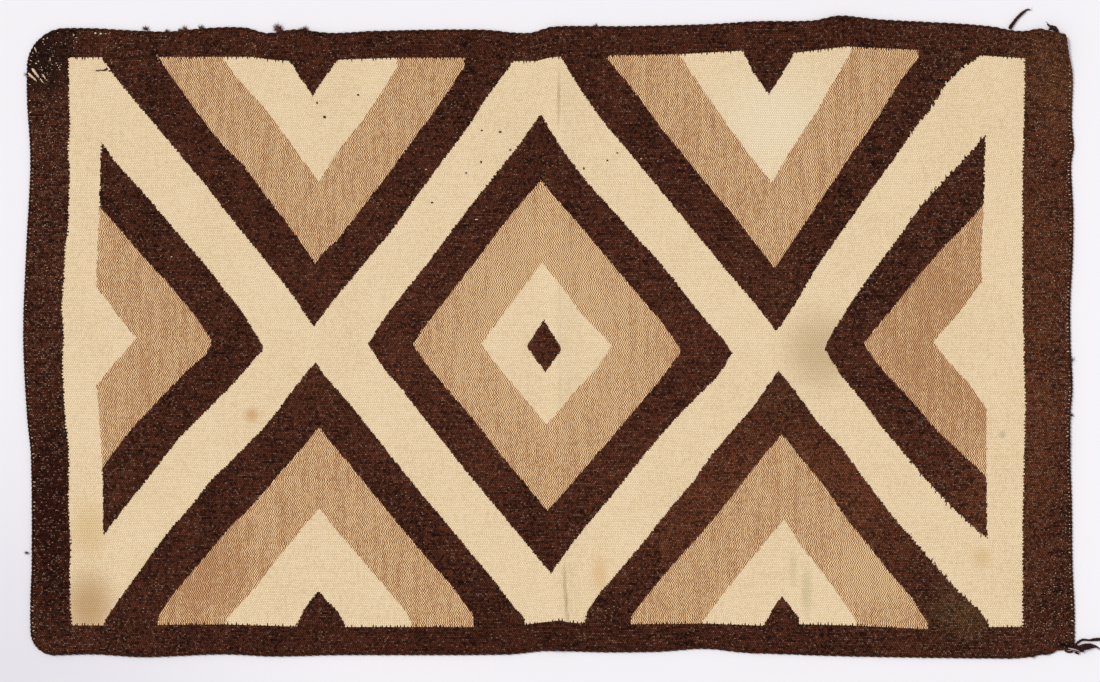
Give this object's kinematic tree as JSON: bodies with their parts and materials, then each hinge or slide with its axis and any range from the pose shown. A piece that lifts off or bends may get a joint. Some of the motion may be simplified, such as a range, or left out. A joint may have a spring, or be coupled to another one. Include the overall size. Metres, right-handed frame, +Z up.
{
  "type": "native american rug",
  "caption": "Flat handwoven wool rug with nested diamonds and chevrons in cream, tan and dark brown, corded edges and loose yarn at its corners.",
  "frame": {"origin": "on the floor under the middle of the whole rug, its loose yarn included", "axes": "+X along the warps and the rug's long side, +Y along the wefts and its short side, +Z up out of the rug's face"},
  "size_m": [1.5754, 0.941, 0.0091],
  "materials": {
    "woven_wool": "matte weft-faced wool",
    "cord_wool": "matte twisted wool cord",
    "loose_yarn": "matte hairy wool yarn"
  },
  "bodies": {
    "root": {"rug_body": "woven_wool", "end_cord_left": "cord_wool", "end_cord_right": "cord_wool", "side_cord_top": "cord_wool", "side_cord_bottom": "cord_wool", "corner_tie_lower_right": "loose_yarn", "loose_end_top": "loose_yarn", "corner_tuft_top_right": "loose_yarn"}
  },
  "joints": []
}
